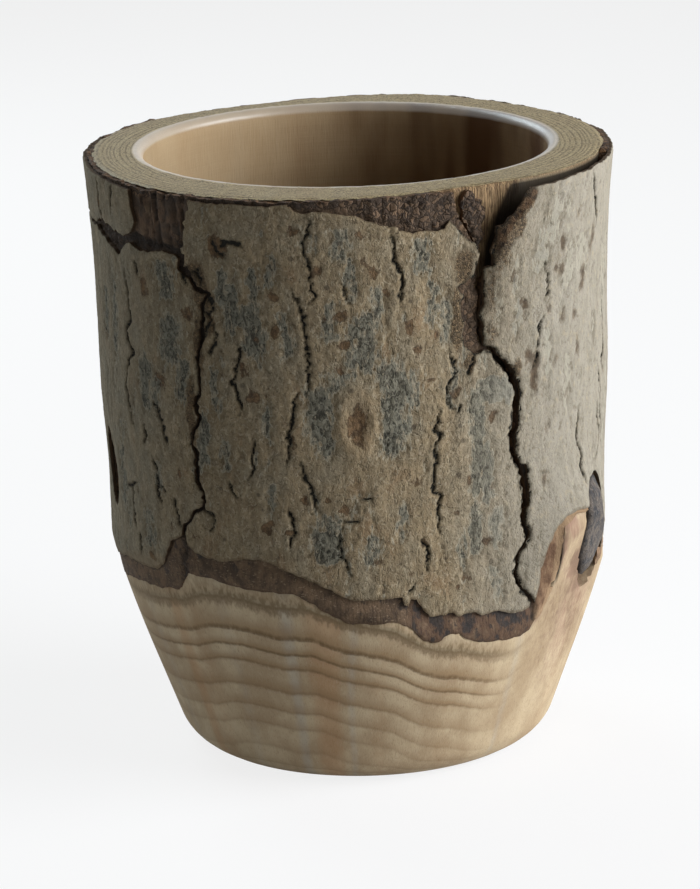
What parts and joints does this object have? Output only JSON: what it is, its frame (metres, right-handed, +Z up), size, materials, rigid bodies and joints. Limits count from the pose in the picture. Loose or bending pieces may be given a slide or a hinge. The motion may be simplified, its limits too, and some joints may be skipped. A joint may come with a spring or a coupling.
{
  "type": "wooden vase",
  "caption": "Small vase hollowed from a length of log, with cracked bark left on above a smooth tapered foot and a flat sawn rim.",
  "frame": {"origin": "centre of the flat base, on the surface the vase stands on", "axes": "+Z up along the log, -Y towards the front face with the main bark crack at its right"},
  "size_m": [0.1194, 0.1205, 0.1383],
  "materials": {
    "wood": "fine sanded, dry",
    "outer_bark": "rough, weathered, dry",
    "inner_bark": "fibrous, matte",
    "knot_wood": "weathered, matte"
  },
  "bodies": {
    "root": {"turned_log": "wood", "inner_bark": "inner_bark", "inner_bark_chip": "inner_bark", "front_bark_plate": "outer_bark", "right_bark_plate": "outer_bark", "left_bark_plate": "outer_bark", "upper_left_bark_flake": "outer_bark", "back_bark_plate": "outer_bark", "right_branch_knot": "knot_wood", "left_branch_knot": "knot_wood"}
  },
  "joints": []
}
